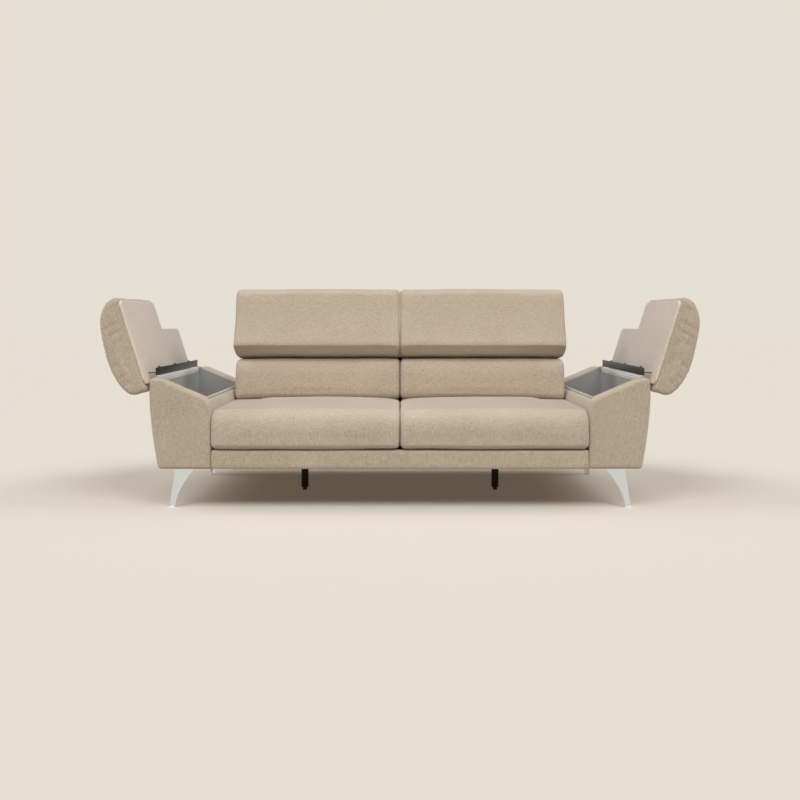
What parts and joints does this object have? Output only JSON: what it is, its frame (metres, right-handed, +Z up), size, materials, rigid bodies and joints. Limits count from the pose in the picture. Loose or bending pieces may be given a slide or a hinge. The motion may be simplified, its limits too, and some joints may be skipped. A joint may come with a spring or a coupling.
{
  "type": "sofa",
  "caption": "Two-seat upholstered sofa on curved metal legs, with fold-back headrests and storage bins in the arms under padded lids that swing outward.",
  "frame": {"origin": "on the floor, under the middle of the whole sofa with both arm lids open", "axes": "+X across the sofa to the right of someone who faces it, -Y to the front, +Z up"},
  "size_m": [2.5048, 1.03, 0.9417],
  "materials": {
    "fabric": "woven upholstery fabric with flecked yarn, soft and matt",
    "lining_fabric": "the same woven fabric drawn tight over board",
    "bin_lining": "smooth grey lining on board",
    "hinge_aluminium": "satin anodised extrusion",
    "bright_steel": "bright satin-polished metal",
    "black_steel": "black powder coat, semi-matt",
    "black_plastic": "moulded, matt",
    "spring_steel": "drawn spring wire",
    "timber": "planed softwood and plywood, unfinished",
    "dust_cloth": "thin non-woven cloth"
  },
  "bodies": {
    "sofa": {"arm_front_right": "fabric", "arm_rear_right": "fabric", "arm_inner_right": "fabric", "arm_outer_right": "fabric", "arm_base_right": "fabric", "seat_cushion_right": "fabric", "lumbar_cushion_right": "fabric", "arm_front_left": "fabric", "arm_rear_left": "fabric", "arm_inner_left": "fabric", "arm_outer_left": "fabric", "arm_base_left": "fabric", "seat_cushion_left": "fabric", "lumbar_cushion_left": "fabric", "front_rail": "fabric", "back_rear_panel": "fabric", "back_top_cap": "fabric", "storage_bin_right": "bin_lining", "storage_bin_left": "bin_lining", "hinge_rail_right": "hinge_aluminium", "hinge_rail_left": "hinge_aluminium", "leg_front_right": "bright_steel", "leg_front_left": "bright_steel", "leg_rear_right": "bright_steel", "leg_rear_left": "bright_steel", "centre_post_right": "black_steel", "ratchet_inner_right": "black_steel", "ratchet_outer_right": "black_steel", "centre_post_left": "black_steel", "ratchet_inner_left": "black_steel", "ratchet_outer_left": "black_steel", "adjuster_foot_right": "black_plastic", "adjuster_foot_left": "black_plastic", "seat_springs_right": "spring_steel", "seat_springs_left": "spring_steel", "seat_rail_front": "timber", "seat_rail_right": "timber", "seat_rail_left": "timber", "seat_rail_middle": "timber", "seat_rail_rear": "timber", "back_rail_lower": "timber", "back_board": "timber", "dust_cover": "dust_cloth"},
    "lid_right": {"lid_leaf_right": "black_steel", "lid_board_right": "lining_fabric", "lid_cushion_right": "fabric"},
    "headrest_right": {"headrest_cushion_right": "fabric", "headrest_board_right": "lining_fabric", "ratchet_arm_inner_right": "black_steel", "ratchet_arm_outer_right": "black_steel"},
    "lid_left": {"lid_leaf_left": "black_steel", "lid_board_left": "lining_fabric", "lid_cushion_left": "fabric"},
    "headrest_left": {"headrest_cushion_left": "fabric", "headrest_board_left": "lining_fabric", "ratchet_arm_inner_left": "black_steel", "ratchet_arm_outer_left": "black_steel"}
  },
  "joints": [
    {"name": "lid_hinge_right", "type": "hinge", "parent": "sofa", "child": "lid_right", "pos_m": [1.026, 0, 0.53416], "axis": [0, -1, 0], "range_deg": [0, 129.5]},
    {"name": "lid_hinge_left", "type": "hinge", "parent": "sofa", "child": "lid_left", "pos_m": [-1.026, 0, 0.53416], "axis": [0, 1, 0], "range_deg": [0, 129.5]},
    {"name": "headrest_hinge_right", "type": "hinge", "parent": "sofa", "child": "headrest_right", "pos_m": [0, 0.217, 0.64], "axis": [-1, 0, 0], "range_deg": [0, 70]},
    {"name": "headrest_hinge_left", "type": "hinge", "parent": "sofa", "child": "headrest_left", "pos_m": [0, 0.217, 0.64], "axis": [-1, 0, 0], "range_deg": [0, 70]}
  ]
}
